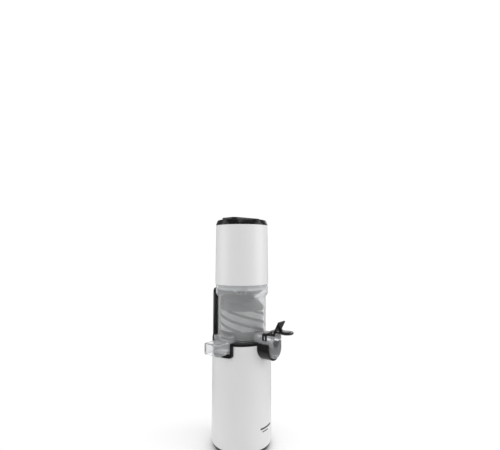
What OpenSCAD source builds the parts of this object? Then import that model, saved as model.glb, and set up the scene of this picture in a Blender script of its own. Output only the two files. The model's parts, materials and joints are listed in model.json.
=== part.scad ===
// Slow juicer: a round base with a geared motor, a clear bowl, a mesh auger, a hopper and a pusher.
// Origin: on the drive axis, in the plane that the feet stand on. +Z is up.
// The juice spout points to -Y, the pulp arm to -X, and the column stands at +Y.

/* [Base] */
// Outer diameter of the base
base_d = 112; // [93:0.5:135]
// Height of the housing's top edge
housing_top = 190; // [156:1:240]
// Wall of the moulded casings
wall = 2.5; // [2:0.1:3]
// Height of the foot ring
foot_h = 4.2; // [3:0.1:6]
// Height of the trim ring's top edge
trim_top = 10; // [9:0.5:14]
// Height of the rim above the housing
rim_h = 6; // [5:0.5:9]
// Height of the column above the rim
column_h = 91; // [75:1:110]
// Half angle that the column covers
column_half = 31; // [25:1:44]

/* [Bowl] */
// Height of the bowl
bowl_h = 118; // [108:1:142]
// Height of the bowl's floor above its lower edge
floor_h = 20; // [17:0.5:24]
// Wall of the bowl
bowl_wall = 2.4; // [2:0.1:3]
// Height of the bowl's collar
collar_h = 22; // [18:1:27]
// Reach of the pulp arm from the axis
arm_reach = 84; // [78:1:101]
// Width of the pulp arm
arm_w = 35; // [28:0.5:42]
// Reach of the juice spout from the axis
spout_reach = 78; // [74:1:90]
// Radius of the spout's round underside
spout_r = 18; // [15:0.5:21.6]
// Radius of the spout's mouth
mouth_r = 9.2; // [7.6:0.1:11]

/* [Auger] */
// Number of helical flights
flight_count = 5; // [3:1:6]
// Rise of a flight in one turn
flight_lead = 75; // [60:1:90]
// Width of the drive hexagon across its flats
hex_af = 10; // [8:0.1:12]

/* [Hopper and pusher] */
// Height of the hopper's white shell
hopper_h = 112; // [100:1:135]
// Height of the hopper's black top ring
ring_h = 10; // [6:0.5:14]
// Width of the pusher's stem
stem_w = 33; // [27:0.5:39.6]
// Depth of the pusher's stem
stem_d = 24; // [20:0.5:28.8]
// Direction of the feed chute from the axis
chute_angle = 170; // [160:1:200]
// Thickness of the pusher's top plate
plate_h = 4.2; // [3:0.1:6]

/* [Drive] */
// Diameter of the motor
motor_d = 62; // [50:1:65]
// Face width of the gears
gear_w = 12; // [10:0.5:14.4]

/* [Hidden] */
$fn = 96;

eps = 0.01;        // overlap that keeps a union or a cut clean
gap = 0.3;         // clearance between curved faces of pieces that lift apart
run = 0.07;        // radial clearance of a running fit
snug = 0.05;       // clearance of pieces fixed in one another

// Base
base_r = base_d / 2;
shell_ir = base_r - wall;
rim_z = housing_top + rim_h;
cup_r = base_r - 7.5;
cup_wall = 2.5;
seat_drop = 18;                       // depth of the bowl's seat below the rim
seat_z = rim_z - seat_drop;
cup_floor = 3;
floor_top = seat_z - gap;
cover_h = 2.8;
cover_top = foot_h + cover_h;
screw_ring_r = shell_ir - 4.4;
screw_r = 1.45;
boss_top = cover_top + 15;
foot_ir = 34;
foot_or = 40;
foot_lobe_r = 49 + (base_d - 112) / 2;
foot_lobe_half = 20;

// Column
column_top = rim_z + column_h;
column_ir = base_r - 4.7;
column_half_w = base_r * sin(column_half);
column_corner = 9;
column_fillet = 17;
panel_h = 2;
panel_inset = 5;

// Cradle for the pulp arm and trough for the juice spout
cradle_side = 3;
cradle_w = arm_w + 2 * cradle_side + 2;
cradle_drop = 8;
cradle_r = base_r + 4;
trough_wall = 3;
trough_r = spout_r + 0.6;
spout_drop = 11;                      // how far the spout hangs below the bowl's lower edge
spout_axis = seat_z + spout_r - spout_drop;
trough_reach = spout_reach - 3;

// Bowl
bowl_r = cup_r - 2.5;
bowl_ir = bowl_r - bowl_wall;
bowl_top = seat_z + bowl_h;
collar_r = column_ir - 1;
collar_ir = collar_r - bowl_wall;
hub_ir = 10.5;
hub_r = 12.8;
hub_h = 10;
bowl_floor = seat_z + floor_h;
floor_t = 2.5;
arm_h = 20;
arm_root_h = 29;
arm_root_reach = bowl_r + 13.5;
spout_top = seat_z + 31;
mouth_z = seat_z + 17;
mouth_wall = 2.2;

// Auger
auger_h = bowl_h - floor_h - 10;
auger_z = bowl_floor + 1.5;
auger_top = auger_z + auger_h;
auger_r = bowl_ir - 0.6;
flight_t = 1.9;
flight_band = 3.6;                    // height of a flight's band along the axis
mesh_t = 0.6;
mesh_r = auger_r - flight_t - 0.3;
drum_z0 = auger_z + 12;
drum_z1 = auger_z + auger_h - 38;
boss_r = 11;
bush_r = 8;
bush_hole = bush_r + run;
pin_r = 5;
hub_z0 = bowl_floor + hub_h + 1;
socket_r = hex_af / 2 + 4;
socket_top = hub_z0 + 18;
auger_hub_r = socket_r + 3;

// Hopper
hopper_z = bowl_top + 0.4;
hopper_r = base_r - 4.7;
hopper_taper = 1.1;
hopper_top = hopper_z + hopper_h;
ring_top = hopper_top + ring_h;
inner_r = hopper_r - hopper_taper - wall - 0.4;
insert_r = collar_ir - 0.4;
insert_depth = 7;
funnel_wall = 2.2;
chute_top = hopper_z + 60;
chute_gap = 0.6;
chute_wall = 2;
chute_offset = pin_r + 5 + chute_wall + stem_d / 2;

// Pusher
stem_z = hopper_z + 0.6;
plate_z = ring_top + 0.4;
stem_wall = 2.2;
cap_t = 3;
stem_chamfer = 5;
plate_reach = chute_offset + stem_d / 2 + 2;
plate_w = stem_w + 7;

// Gears: every stage has the same three sizes
sun_teeth = 12;
planet_teeth = 24;
ring_teeth = sun_teeth + 2 * planet_teeth;
ring_gear_r = shell_ir - 11.5;
gear_m = (ring_gear_r - 4.5) / (ring_teeth / 2);
orbit_r = gear_m * (sun_teeth + planet_teeth) / 2;
pressure = 25;
backlash = 0.16;
planet_pin_r = 3;
box_wall = 2.2;
box_r = ring_gear_r + snug + box_wall;
ear_r = 3.8;
ear_ring_r = shell_ir - ear_r - 2.7;

// Gearbox heights, from the cup's floor down
seal_h = 5;
box_lid_z = seat_z - 32;              // underside of the gearbox cover
box_lid_h = 3.5;
carrier_h = 3.2;
carrier2_z = box_lid_z - 0.6 - carrier_h;
stage2_z = carrier2_z - 0.4 - gear_w;
carrier1_z = stage2_z - 3.4 - carrier_h;
stage1_z = carrier1_z - 0.4 - gear_w;
box_z = stage1_z - 6.2;
box_floor = 3.8;
carrier_r = orbit_r + 5;
bearing_r = 14;
bearing_h = 9;
bearing_z = box_lid_z + box_lid_h + 2;
shaft_r = hex_af / sqrt(3) + 0.43;
hex_z = hub_z0 - 2;
shaft_top = socket_top - 10;

// Motor heights, from the gearbox down
motor_r = min(motor_d / 2, shell_ir - 22);
damper_h = 2;
front_h = 4;
front_z = box_z - damper_h - front_h;
fan_space = 20;
end_cap_h = 4;
can_z = cover_top + fan_space + end_cap_h + 5;
can_wall = 1.6;
magnet_t = 3.4;
core_r = motor_r - can_wall - magnet_t - 0.9;
core_z0 = can_z + 18;
core_z1 = front_z - 10;
core_slots = 8;
motor_shaft_r = 4;
motor_bearing_r = 9;
commutator_r = 9;
fan_r = motor_r - 4;
fan_blades = 9;

// Switch and gland
switch_z = can_z + 26;
switch_w = 14;
switch_l = 21;
switch_depth = 17;
bezel_h = 1.6;
bezel_x = base_r + 0.2;
rocker_axis_x = base_r - 0.6;
rocker_pin_r = 1.2;
gland_z = 26;
gland_r = 5.5;
cord_r = 3.6;

// Spout cap
bracket_z = spout_top + 0.2;
bracket_l = 9;
bracket_y = -(spout_reach - 12);
hinge_y = -(spout_reach + 2.2);
hinge_z = spout_top + 6;
hinge_pin_r = 1.4;
lid_r = mouth_r + 3;
lid_arm = hinge_z - mouth_z;
lid_t = 3;
lid_half = 11;

// ---- shared shapes ----

module tube(r1, r0, z, h) {
    translate([0, 0, z])
        difference() {
            cylinder(r = r1, h = h);
            translate([0, 0, -1]) cylinder(r = r0, h = h + 2);
        }
}

module disc(r, z, h) {
    translate([0, 0, z]) cylinder(r = r, h = h);
}

// A ring sector, centred on the direction a
module sector(r1, r0, a, half, z, h) {
    intersection() {
        tube(r1, r0, z, h);
        rotate([0, 0, a])
            translate([0, 0, z - 1])
                linear_extrude(h + 2)
                    polygon([[0, 0], for (t = [-half, -half / 2, 0, half / 2, half])
                        2 * r1 * [cos(t), sin(t)]]);
    }
}

module rounded_rect(x, y, r) {
    square([x - 2 * r, y], center = true);
    square([x, y - 2 * r], center = true);
    for (i = [-1, 1], j = [-1, 1])
        translate([i * (x / 2 - r), j * (y / 2 - r)]) circle(r);
}

module chamfered_rect(x, y, c) {
    polygon([[-x / 2 + c, -y / 2], [x / 2 - c, -y / 2], [x / 2, -y / 2 + c], [x / 2, y / 2 - c],
        [x / 2 - c, y / 2], [-x / 2 + c, y / 2], [-x / 2, y / 2 - c], [-x / 2, -y / 2 + c]]);
}

// A box between two corners
module block(lo, hi) {
    translate(lo) cube(hi - lo);
}

// A cylinder that lies along Y, from y0 to y1
module rod_y(r, x, z, y0, y1) {
    translate([x, y1, z]) rotate([90, 0, 0]) cylinder(r = r, h = y1 - y0);
}

// A cylinder that lies along X, from x0 to x1
module rod_x(r, y, z, x0, x1) {
    translate([x0, y, z]) rotate([0, 90, 0]) cylinder(r = r, h = x1 - x0);
}

module at_angles(list, r) {
    for (a = list) rotate([0, 0, a]) translate([r, 0, 0]) children();
}

// Turns a shape drawn around the drive axis to the feed chute's direction
module at_chute() {
    rotate([0, 0, chute_angle]) children();
}

module hexagon(af) {
    circle(r = af / sqrt(3), $fn = 6);
}

// Involute tooth flank: the polar angle at radius r on a base circle rb
function inv_angle(rb, r) =
    let (t = sqrt(max(0, (r / rb) * (r / rb) - 1))) t * 180 / PI - atan(t);

// Gear outline with n teeth: one tooth points to +X; thin narrows every tooth by that arc
module gear_outline(n, m, add, ded, thin) {
    rp = n * m / 2;
    rb = rp * cos(pressure);
    r_tip = rp + add;
    r_root = rp - ded;
    r_low = max(rb, r_root);
    half = 90 / n - thin / (2 * rp) * 180 / PI + inv_angle(rb, rp);
    flank = [for (k = [0 : 3]) let (r = r_low + (r_tip - r_low) * k / 3) [r, half - inv_angle(rb, r)]];
    tooth = concat(r_root < rb ? [[r_root, half]] : [], flank);
    last = len(tooth) - 1;
    polygon([for (i = [0 : n - 1], side = [-1, 1], k = [0 : last])
        let (p = tooth[side < 0 ? k : last - k], a = 360 * i / n + side * p[1])
            p[0] * [cos(a), sin(a)]]);
}

module sun_outline() {
    gear_outline(sun_teeth, gear_m, 0.9 * gear_m, 1.15 * gear_m, backlash);
}

module planet(z, index) {
    rotate([0, 0, 120 * index])
        translate([orbit_r, 0, z])
            difference() {
                linear_extrude(gear_w)
                    rotate(180 / planet_teeth)
                        gear_outline(planet_teeth, gear_m, 0.9 * gear_m, 1.15 * gear_m, backlash);
                translate([0, 0, -1]) cylinder(r = planet_pin_r + run, h = gear_w + 2);
            }
}

// A carrier plate with its three planet pins, which point down
module carrier_plate(z) {
    disc(carrier_r, z, carrier_h);
    at_angles([0, 120, 240], orbit_r)
        translate([0, 0, z - 0.4 - gear_w]) cylinder(r = planet_pin_r, h = gear_w + 0.4 + eps);
}

// ---- base, outside ----

module cradle_outline(grow) {
    // Seen from -X: the apron's outline, y and z, from the rim down past the arm
    w = cradle_w + 2 * grow;
    top = rim_z;
    low = seat_z - cradle_drop - grow;
    c = 5 + grow;
    translate([-w / 2, low + c]) square([w, top - low - c]);
    translate([-w / 2 + c, low]) square([w - 2 * c, c + 1]);
    for (i = [-1, 1]) translate([i * (w / 2 - c), low + c]) circle(c);
}

module cradle_prism(grow, x0, x1, rise) {
    translate([x0, 0, 0])
        rotate([90, 0, 90])
            linear_extrude(x1 - x0) {
                cradle_outline(grow);
                translate([-cradle_w / 2 - grow, rim_z - 1]) square([cradle_w + 2 * grow, rise + 1]);
            }
}

// The trough's outside, or what must be cut away for it when grow is set
module trough_body(r, y0, y1, top) {
    translate([0, y1, 0])
        rotate([90, 0, 0])
            linear_extrude(y1 - y0) {
                intersection() {
                    translate([0, spout_axis]) circle(r = r);
                    translate([-r, spout_axis - 2 * r]) square([2 * r, 2 * r + eps]);
                }
                translate([-r, spout_axis]) square([2 * r, top - spout_axis]);
            }
}

module housing_shell() {
    color("white")
        difference() {
            union() {
                tube(base_r, shell_ir, trim_top, housing_top - trim_top);
                intersection() {
                    disc(shell_ir + 1, cover_top, boss_top - cover_top);
                    at_angles([45, 135, 225, 315], screw_ring_r) {
                        translate([0, 0, cover_top]) cylinder(r = 4.2, h = boss_top - cover_top);
                        translate([0, -2, trim_top]) cube([6, 4, boss_top - trim_top]);
                    }
                }
            }
            at_angles([45, 135, 225, 315], screw_ring_r)
                translate([0, 0, cover_top - 1]) cylinder(r = screw_r + snug, h = 13);
            cradle_prism(0.2, -base_r - 2, -shell_ir + 6, 2);
            trough_body(trough_r + trough_wall + 0.2, -base_r - 2, -shell_ir + 8, rim_z + 2);
            block([shell_ir - 2, -switch_w / 2 + 0.8, switch_z - switch_l / 2 + 0.8],
                [base_r + 2, switch_w / 2 - 0.8, switch_z + switch_l / 2 - 0.8]);
            rod_y(gland_r + snug, 0, gland_z, shell_ir - 3, base_r + 2);
        }
}

module trim_ring() {
    color("black")
        rotate_extrude()
            polygon([[shell_ir + 0.1, foot_h - 0.4], [base_r - 2, foot_h - 0.4], [base_r - 0.5, trim_top - 2],
                [base_r - 0.3, trim_top], [shell_ir + 0.1, trim_top]]);
}

module bottom_cover() {
    color("dimgray")
        difference() {
            union() {
                disc(shell_ir, foot_h, cover_h);
                tube(28, 26, cover_top - eps, 4);
            }
            for (a = [0 : 30 : 330])
                rotate([0, 0, a]) block([12, -1.5, foot_h - 1], [24, 1.5, cover_top + 1]);
            at_angles([45, 135, 225, 315], screw_ring_r) {
                translate([0, 0, foot_h - 1]) cylinder(r = screw_r + 0.2, h = cover_h + 2);
                translate([0, 0, foot_h - 1]) cylinder(r = 3.1, h = 2.2);
            }
        }
}

module foot_ring() {
    color("black")
        difference() {
            union() {
                tube(foot_or, foot_ir, 0, foot_h);
                for (a = [45 : 90 : 315]) sector(foot_lobe_r, foot_ir, a, foot_lobe_half, 0, foot_h);
            }
            at_angles([45, 135, 225, 315], screw_ring_r)
                translate([0, 0, -1]) cylinder(r = 3.6, h = foot_h + 2);
        }
}

module cover_screws() {
    color("silver")
        at_angles([45, 135, 225, 315], screw_ring_r)
            difference() {
                union() {
                    translate([0, 0, foot_h - 0.8]) cylinder(r = 2.9, h = 1.9);
                    translate([0, 0, foot_h + 1]) cylinder(r = screw_r, h = 13);
                }
                translate([-2, -0.4, foot_h - 1]) cube([4, 0.8, 1]);
                translate([-0.4, -2, foot_h - 1]) cube([0.8, 4, 1]);
            }
}

// The column's outline seen from +Y, x and z; inset shrinks it all round
module column_outline(inset) {
    w = column_half_w - inset;
    top = column_top - inset;
    c = column_corner - inset / 2;
    translate([-w, rim_z - 1]) square([2 * w, top - c - rim_z + 1]);
    translate([-w + c, top - c - 1]) square([2 * (w - c), c + 1]);
    for (i = [-1, 1]) translate([i * (w - c), top - c]) circle(c);
}

// The concave flare that joins the column to the rim, one on each side
module column_flare() {
    for (i = [-1, 1])
        difference() {
            translate([i < 0 ? -column_half_w - column_fillet + 6 : column_half_w - 6, rim_z - 1])
                square([column_fillet, column_fillet + 1]);
            translate([i * (column_half_w + column_fillet - 6), rim_z + column_fillet])
                circle(column_fillet);
        }
}

module column_prism(y0) {
    translate([0, base_r + 5, 0])
        rotate([90, 0, 0])
            linear_extrude(base_r + 5 - y0) children();
}

module top_frame() {
    color([0.06, 0.06, 0.065])
        difference() {
            union() {
                tube(cup_r + cup_wall, cup_r, floor_top - cup_floor, rim_z - floor_top + cup_floor);
                disc(cup_r + 1, floor_top - cup_floor, cup_floor);
                rotate_extrude()
                    polygon([[cup_r, housing_top + snug], [base_r, housing_top + snug],
                        [base_r, rim_z - 1.2], [base_r - 1.2, rim_z], [cup_r + 1, rim_z],
                        [cup_r, rim_z - 1]]);
                intersection() {
                    tube(base_r, column_ir, rim_z - 2, column_h + 3);
                    column_prism(0) {
                        column_outline(0);
                        column_flare();
                    }
                }
                difference() {
                    union() {
                        intersection() {
                            cradle_prism(0, -cradle_r - 1, -cup_r + 1, 0);
                            disc(cradle_r, seat_z - 30, 60);
                        }
                        trough_body(trough_r + trough_wall, -trough_reach, -cup_r + 10, rim_z - 1.5);
                    }
                    disc(cup_r, floor_top, 60);
                }
                disc(11, floor_top - cup_floor - 8, cup_floor + 11);
                at_angles([45, 135, 225, 315], ear_ring_r)
                    translate([0, 0, box_lid_z + box_lid_h + snug])
                        cylinder(r = ear_r, h = floor_top - cup_floor - box_lid_z - box_lid_h);
            }
            // The shaft's way through, with the seal's seat
            disc(shaft_r + 1.2, floor_top - 20, 40);
            disc(8.6, floor_top - 2, 20);
            // The pulp arm's way out
            block([-cradle_r - 2, -arm_w / 2 - 0.8, seat_z - 0.4], [-cup_r + 4, arm_w / 2 + 0.8, rim_z + 2]);
            // The juice spout's way out
            trough_body(trough_r, -trough_reach - 2, -cup_r + 7, rim_z + 2);
            // Room for the column's panel and the sensor behind it
            intersection() {
                disc(column_ir + panel_h + snug, rim_z + 1, column_h + 5);
                column_prism(1) column_outline(panel_inset);
            }
            block([-7, column_ir - 2, column_top - 44], [7, column_ir + 3.4, column_top - 14]);
            // Slot at the column's top for the bowl's lock
            rotate([0, 0, 24])
                block([-8, column_ir - 4, column_top - 9], [8, column_ir + 2.2, column_top + 1]);
            at_angles([45, 135, 225, 315], ear_ring_r)
                translate([0, 0, box_lid_z]) cylinder(r = 1.7, h = 14);
        }
}

module column_panel() {
    color([0.35, 0.35, 0.37])
        difference() {
            intersection() {
                tube(column_ir + panel_h, column_ir, rim_z + 1.2, column_h + 3);
                column_prism(1) column_outline(panel_inset + 0.2);
            }
            rotate([0, 0, 24])
                block([-9, column_ir - 4, column_top - 10], [9, column_ir + 4, column_top + 1]);
        }
}

module lock_sensor() {
    color("green")
        block([-6, column_ir + panel_h + 0.1, column_top - 43], [6, column_ir + 3.2, column_top - 15]);
}

module shaft_seal() {
    color("black")
        difference() {
            disc(8.55, floor_top - 1.95, seal_h);
            disc(shaft_r + run, floor_top - 5, 20);
        }
}

module switch_body() {
    color("black")
        difference() {
            union() {
                block([bezel_x - switch_depth, -switch_w / 2 + 1, switch_z - switch_l / 2 + 1],
                    [bezel_x + eps, switch_w / 2 - 1, switch_z + switch_l / 2 - 1]);
                block([bezel_x, -switch_w / 2, switch_z - switch_l / 2],
                    [bezel_x + bezel_h, switch_w / 2, switch_z + switch_l / 2]);
            }
            block([bezel_x - 6, -switch_w / 2 + 2.2, switch_z - switch_l / 2 + 2.4],
                [bezel_x + 3, switch_w / 2 - 2.2, switch_z + switch_l / 2 - 2.4]);
            rod_y(rocker_pin_r + run, rocker_axis_x, switch_z, -switch_w / 2 + 1.5, switch_w / 2 - 1.5);
        }
}

module switch_rocker() {
    // A shallow V seen from the side, turning about an axis along Y
    half_l = switch_l / 2 - 3.4;
    half_w = switch_w / 2 - 2.5;
    color("black") {
        translate([rocker_axis_x, half_w, switch_z])
            rotate([90, 0, 0])
                linear_extrude(2 * half_w)
                    polygon([[-2.6, -1.6], [-0.6, -half_l], [2, -half_l], [2.4, 0], [2, half_l],
                        [-0.6, half_l], [-2.6, 1.6]]);
        rod_y(rocker_pin_r, rocker_axis_x, switch_z, -half_w - 0.9, half_w + 0.9);
    }
}

module cord_gland() {
    color("black")
        difference() {
            union() {
                rod_y(gland_r, 0, gland_z, shell_ir - 6, base_r + 2);
                rod_y(gland_r + 2.5, 0, gland_z, base_r + 0.2, base_r + 2.4);
                rod_y(gland_r - 0.8, 0, gland_z, base_r + 2, base_r + 9);
                rod_y(gland_r + 2, 0, gland_z, shell_ir - 6, shell_ir - 3);
            }
            rod_y(cord_r, 0, gland_z, shell_ir - 8, base_r + 12);
        }
}

// ---- base, inside ----

module control_board() {
    y0 = shell_ir - 13;
    z0 = can_z + 6;
    color("green") {
        block([-19, y0, z0], [19, y0 + 1.6, z0 + 48]);
        rod_y(5.5, -11, z0 + 10, y0 - 5 + 1, y0 + eps);
        block([-2, y0 + 1.6 - eps, z0 + 6], [12, y0 + 7, z0 + 20]);
        block([-15, y0 - 4, z0 + 24], [-3, y0 + eps, z0 + 38]);
        rod_y(4, 10, z0 + 34, y0 + 1.6 - eps, y0 + 8);
    }
}

module motor_can() {
    color("silver")
        difference() {
            tube(motor_r, motor_r - can_wall, can_z, front_z - can_z);
            for (a = [90, 270])
                rotate([0, 0, a])
                    block([motor_r - 4, -4, front_z - 9], [motor_r + 2, 4, front_z - 4]);
        }
}

module motor_magnets() {
    color("dimgray")
        for (a = [0, 180])
            sector(motor_r - can_wall - snug, motor_r - can_wall - magnet_t, a, 62, core_z0 - 3,
                core_z1 - core_z0 + 6);
}

module motor_end_cap() {
    color("dimgray")
        difference() {
            union() {
                disc(motor_r, can_z - end_cap_h, end_cap_h - snug);
                disc(motor_bearing_r + 3, can_z - end_cap_h - 4, 5);
            }
            disc(motor_bearing_r + snug, can_z - end_cap_h - 1, 20);
            disc(motor_shaft_r + 1, can_z - 20, 30);
            for (a = [30 : 60 : 330])
                rotate([0, 0, a]) block([15, -3, can_z - 10], [24, 3, can_z + 1]);
        }
}

module motor_front_plate() {
    color("silver")
        difference() {
            disc(motor_r, front_z + snug, front_h - snug);
            disc(motor_bearing_r + snug, front_z - 1, front_h + 2);
            for (a = [0 : 90 : 270])
                rotate([0, 0, a])
                    translate([motor_r * 0.6, 0, front_z - 1]) cylinder(r = 2.2, h = front_h + 2);
        }
}

module ball_bearing(r1, r0, z, h) {
    mid = (r1 + r0) / 2;
    ball = min(h * 0.3, (r1 - r0) * 0.28);
    tube(r1, mid + ball * 0.6, z, h);
    tube(mid - ball * 0.6, r0, z, h);
    tube(mid + ball * 0.6 + eps, mid - ball * 0.6 - eps, z + h * 0.3, h * 0.4);
}

module motor_bearings() {
    color("lightgray") {
        ball_bearing(motor_bearing_r, motor_shaft_r + run, can_z - end_cap_h - 1 + snug, end_cap_h);
        ball_bearing(motor_bearing_r, motor_shaft_r + run, front_z + snug, front_h - 2 * snug);
    }
}

module motor_brushes() {
    color("dimgray")
        for (a = [0, 180])
            rotate([0, 0, a]) {
                block([commutator_r + 0.15, -2.5, can_z + 5], [commutator_r + 7, 2.5, can_z + 10]);
                block([commutator_r + 4, -4, can_z], [core_r - 2, 4, can_z + 4.95]);
            }
}

module motor_damper() {
    color("black")
        tube(motor_r - 2, motor_bearing_r + 3, front_z + front_h, damper_h);
}

module rotor_core() {
    color("gray")
        difference() {
            disc(core_r, core_z0, core_z1 - core_z0);
            disc(motor_shaft_r + snug, core_z0 - 1, core_z1 - core_z0 + 2);
            for (i = [0 : core_slots - 1])
                rotate([0, 0, 360 / core_slots * (i + 0.5)]) {
                    block([core_r * 0.5, -2.6, core_z0 - 1], [core_r * 0.86, 2.6, core_z1 + 1]);
                    block([core_r * 0.8, -0.8, core_z0 - 1], [core_r + 1, 0.8, core_z1 + 1]);
                }
        }
}

module rotor_windings() {
    color("orange") {
        for (z = [core_z0 - 6, core_z1])
            tube(core_r * 0.88, core_r * 0.45, z + (z == core_z1 ? eps : -eps), 6);
        for (i = [0 : core_slots - 1])
            rotate([0, 0, 360 / core_slots * (i + 0.5)])
                block([core_r * 0.5 + 0.2, -2.4, core_z0 - 1], [core_r * 0.86 - 0.2, 2.4, core_z1 + 1]);
    }
}

module motor_shaft() {
    color("silver") {
        disc(motor_shaft_r, can_z - end_cap_h - 16, stage1_z - can_z + end_cap_h + 16 + eps);
        translate([0, 0, stage1_z]) linear_extrude(gear_w) sun_outline();
    }
}

module commutator() {
    color("peru")
        difference() {
            tube(commutator_r, motor_shaft_r + snug, can_z + 1, 10.5);
            for (i = [0 : core_slots - 1])
                rotate([0, 0, 360 / core_slots * i])
                    block([commutator_r - 0.8, -0.3, can_z], [commutator_r + 1, 0.3, can_z + 10]);
        }
}

module cooling_fan() {
    z0 = can_z - end_cap_h - 15;
    color("dimgray") {
        tube(9, motor_shaft_r + snug, z0, 9);
        tube(fan_r, 8.5, z0, 1.5);
        for (i = [0 : fan_blades - 1])
            rotate([0, 0, 360 / fan_blades * i])
                block([8, -0.7, z0 + 1], [fan_r - 0.5, 0.7, z0 + 9]);
    }
}

module gearbox_housing() {
    color("gainsboro")
        difference() {
            union() {
                tube(box_r, ring_gear_r + snug, box_z, box_lid_z - box_z);
                disc(box_r, box_z, box_floor);
                at_angles([45, 135, 225, 315], ear_ring_r)
                    translate([0, 0, box_lid_z - 14]) cylinder(r = ear_r, h = 14);
            }
            disc(motor_shaft_r + 2.5, box_z - 1, 10);
            disc(ring_gear_r + snug, box_z + box_floor, 200);
            at_angles([45, 135, 225, 315], ear_ring_r)
                translate([0, 0, box_lid_z - 15]) cylinder(r = 1.7, h = 20);
        }
}

module ring_gear() {
    z0 = box_z + box_floor + snug;
    h = box_lid_z - z0 - snug;
    color("gray")
        difference() {
            disc(ring_gear_r, z0, h);
            translate([0, 0, z0 - 1])
                linear_extrude(h + 2)
                    rotate(180 / ring_teeth)
                        gear_outline(ring_teeth, gear_m, 1.15 * gear_m, 0.9 * gear_m, -backlash);
        }
}

module gearbox_cover() {
    color("gainsboro")
        difference() {
            union() {
                disc(box_r, box_lid_z, box_lid_h);
                at_angles([45, 135, 225, 315], ear_ring_r)
                    translate([0, 0, box_lid_z]) cylinder(r = ear_r, h = box_lid_h);
                disc(bearing_r + 2.5, box_lid_z, bearing_h + 6);
            }
            disc(shaft_r + 1.4, box_lid_z - 1, 40);
            disc(bearing_r + snug, bearing_z, 20);
            at_angles([45, 135, 225, 315], ear_ring_r)
                translate([0, 0, box_lid_z - 1]) cylinder(r = 1.7, h = 10);
        }
}

module gearbox_screws() {
    color("silver")
        at_angles([45, 135, 225, 315], ear_ring_r)
            difference() {
                union() {
                    translate([0, 0, box_lid_z - 14 - 3]) cylinder(r = 2.6, h = 3);
                    translate([0, 0, box_lid_z - 15]) cylinder(r = 1.6, h = 27);
                }
                translate([0, 0, box_lid_z - 18]) cylinder(r = 1.4, h = 2.6, $fn = 6);
            }
}

module output_bearing() {
    color("lightgray")
        ball_bearing(bearing_r, shaft_r + run, bearing_z, bearing_h);
}

module stage1_carrier() {
    color("gray") {
        carrier_plate(carrier1_z);
        translate([0, 0, carrier1_z + carrier_h - eps])
            linear_extrude(stage2_z + gear_w - carrier1_z - carrier_h - 0.3) sun_outline();
    }
}

module stage1_planet_a() {
    color("silver") planet(stage1_z, 0);
}

module stage1_planet_b() {
    color("silver") planet(stage1_z, 1);
}

module stage1_planet_c() {
    color("silver") planet(stage1_z, 2);
}

module output_carrier() {
    color("gray")
        difference() {
            carrier_plate(carrier2_z);
            disc(shaft_r + snug, carrier2_z - 1, carrier_h + 2);
        }
}

module stage2_planet_a() {
    color("silver") planet(stage2_z, 0);
}

module stage2_planet_b() {
    color("silver") planet(stage2_z, 1);
}

module stage2_planet_c() {
    color("silver") planet(stage2_z, 2);
}

module drive_shaft() {
    color("silver") {
        disc(shaft_r, carrier2_z, hex_z - carrier2_z);
        translate([0, 0, hex_z - eps])
            linear_extrude(shaft_top - hex_z) hexagon(hex_af);
    }
}

// ---- bowl ----

module bowl() {
    lip = 1.2;
    color([0.85, 0.87, 0.88, 0.5])
        difference() {
            rotate_extrude()
                polygon([[bowl_ir, seat_z], [bowl_r, seat_z], [bowl_r, bowl_top - collar_h - 2],
                    [bowl_r + 1, bowl_top - collar_h - 0.6],
                    [collar_r - 1, bowl_top - collar_h + 2.6], [collar_r, bowl_top - collar_h + 5],
                    [collar_r, bowl_top], [collar_ir, bowl_top],
                    [collar_ir, bowl_top - collar_h + 6], [bowl_ir, bowl_top - collar_h],
                    [bowl_ir, bowl_floor], [hub_r, bowl_floor], [hub_r, bowl_floor + hub_h - lip],
                    [hub_r - lip, bowl_floor + hub_h], [hub_ir, bowl_floor + hub_h],
                    [hub_ir, bowl_floor - floor_t], [bowl_ir, bowl_floor - floor_t]]);
            // Windows from the bowl into the arm and the spout
            block([-bowl_r - 1, -arm_w / 2 + bowl_wall + 1, bowl_floor],
                [-bowl_ir + 6, arm_w / 2 - bowl_wall - 1, seat_z + arm_root_h - bowl_wall]);
            block([-9, -bowl_r - 2, bowl_floor], [9, -bowl_ir + 5, mouth_z + mouth_r]);
        }
}

// The pulp arm and the juice spout, moulded on to the bowl
module bowl_outlets() {
    color([0.85, 0.87, 0.88, 0.5])
        difference() {
            union() {
                // Pulp arm: a tall root and a lower outer box
                block([-arm_root_reach, -arm_w / 2, seat_z], [-bowl_r / 2, arm_w / 2, seat_z + arm_root_h]);
                translate([-arm_reach, 0, seat_z])
                    rotate([90, 0, 90])
                        linear_extrude(arm_reach - bowl_r)
                            translate([0, arm_h / 2]) rounded_rect(arm_w, arm_h, 2.5);
                // Juice spout: round underside, flat top
                trough_body(spout_r, -spout_reach, -bowl_r / 2, spout_top);
            }
            disc(bowl_r + eps, seat_z - 40, 200);
            // Hollows of the arm
            block([-arm_root_reach + bowl_wall, -arm_w / 2 + bowl_wall, seat_z + bowl_wall],
                [-bowl_r / 2, arm_w / 2 - bowl_wall, seat_z + arm_root_h - bowl_wall]);
            block([-arm_reach + bowl_wall, -arm_w / 2 + bowl_wall, seat_z + bowl_wall],
                [-bowl_r - 4, arm_w / 2 - bowl_wall, seat_z + arm_h - bowl_wall]);
            block([-arm_reach + bowl_wall, -arm_w / 2 + bowl_wall, seat_z - 1],
                [-cradle_r - 3, arm_w / 2 - bowl_wall, seat_z + 5]);
            // The plug's hole in the arm's floor
            block([-bowl_r - 11, -9, seat_z - 1], [-bowl_r - 3, 9, seat_z + 4]);
            // The spout's way out
            rod_y(mouth_r, 0, mouth_z, -spout_reach - 1, -bowl_r / 2);
        }
}

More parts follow.
